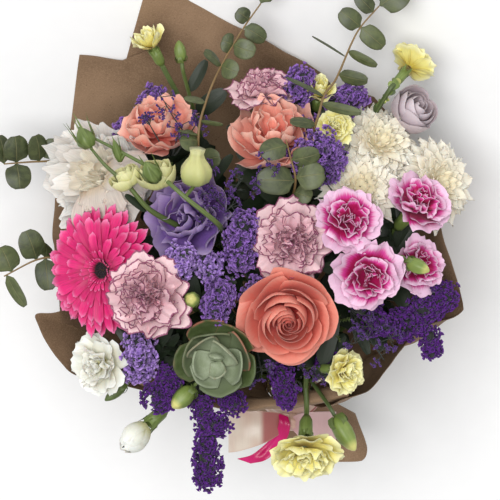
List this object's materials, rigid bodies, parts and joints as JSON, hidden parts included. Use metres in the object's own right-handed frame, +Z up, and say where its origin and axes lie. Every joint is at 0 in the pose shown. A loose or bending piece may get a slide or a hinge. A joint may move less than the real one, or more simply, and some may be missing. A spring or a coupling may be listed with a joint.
{
  "type": "mixed flower bouquet",
  "caption": "Hand-tied bouquet of mixed roses, carnations, gerbera, peony, chrysanthemums, statice and leaves in a kraft paper wrap with a satin ribbon, lying on the back of its wrap.",
  "frame": {"origin": "on the surface that the bouquet lies on, under the middle of its outer box", "axes": "+Z up, +Y from the flower heads toward the cut stem ends, +X across the bouquet"},
  "size_m": [0.4009, 0.5068, 0.2662],
  "materials": {
    "kraft_paper": "matt brown kraft paper, softly creased",
    "twine": "rough natural twine",
    "satin": "glossy cream satin with dusty rose and pale pink parts",
    "hot_pink_satin": "glossy hot pink satin",
    "stem": "smooth fresh green",
    "leaf": "matt grey-green leaf",
    "green_bud": "smooth pale green",
    "gerbera_petal": "satin hot pink petals with lighter tips",
    "gerbera_disc": "dark maroon florets",
    "cream_petal": "soft cream petals with blush outer ones",
    "rose_petal": "soft coral petals",
    "peach_petal": "soft peach petals",
    "variegated_petal": "pale pink petals with dark purple edges",
    "magenta_petal": "magenta petals with pale pink edges",
    "chrysanthemum_petal": "cream petals, green-yellow at the centre",
    "lisianthus_petal": "soft violet petals",
    "mauve_petal": "dusty mauve petals",
    "succulent_leaf": "waxy grey-green leaves with red-brown edges",
    "white_petal": "white petals",
    "yellow_petal": "pale yellow petals, deeper at the centre",
    "deep_violet": "papery deep violet florets",
    "violet": "papery violet florets",
    "lavender": "papery lavender florets",
    "haze": "tiny dark purple florets"
  },
  "bodies": {
    "root": {"wrap_back": "kraft_paper", "wrap_corner": "kraft_paper", "wrap_left": "kraft_paper", "wrap_front": "kraft_paper", "wrap_right_front": "kraft_paper", "wrap_right": "kraft_paper", "twine": "twine", "ribbon": "satin", "ribbon_hot_pink": "hot_pink_satin", "stems": "stem", "gerbera": "gerbera_petal", "gerbera_disc": "gerbera_disc", "peony": "cream_petal", "rose": "rose_petal", "peach_rose_middle": "peach_petal", "peach_rose_left": "peach_petal", "carnation_left": "variegated_petal", "carnation_middle": "variegated_petal", "carnation_top": "variegated_petal", "spray_carnation_1": "magenta_petal", "spray_carnation_2": "magenta_petal", "spray_carnation_3": "magenta_petal", "spray_carnation_4": "magenta_petal", "chrysanthemum_middle": "chrysanthemum_petal", "chrysanthemum_top": "chrysanthemum_petal", "chrysanthemum_right": "chrysanthemum_petal", "lisianthus": "lisianthus_petal", "mauve_rose": "mauve_petal", "rosette": "succulent_leaf", "white_carnation": "white_petal", "white_bud": "white_petal", "yellow_top_left": "yellow_petal", "yellow_top_right": "yellow_petal", "yellow_back": "yellow_petal", "yellow_back_small": "yellow_petal", "yellow_front_right": "yellow_petal", "yellow_front": "yellow_petal", "eucalyptus_top_left": "leaf", "eucalyptus_top_right": "leaf", "eucalyptus_left_upper": "leaf", "eucalyptus_left_lower": "leaf", "eucalyptus_middle": "leaf", "lisianthus_buds": "green_bud", "statice_drooping": "deep_violet", "statice_right": "deep_violet", "statice_front": "deep_violet", "statice_middle": "violet", "statice_back_middle": "violet", "statice_back_right": "violet", "statice_left_back": "violet", "statice_lavender": "lavender", "statice_lilac": "lavender", "haze_left": "haze", "haze_middle": "haze", "haze_top": "haze", "haze_right": "haze", "haze_front": "haze"}
  },
  "joints": []
}
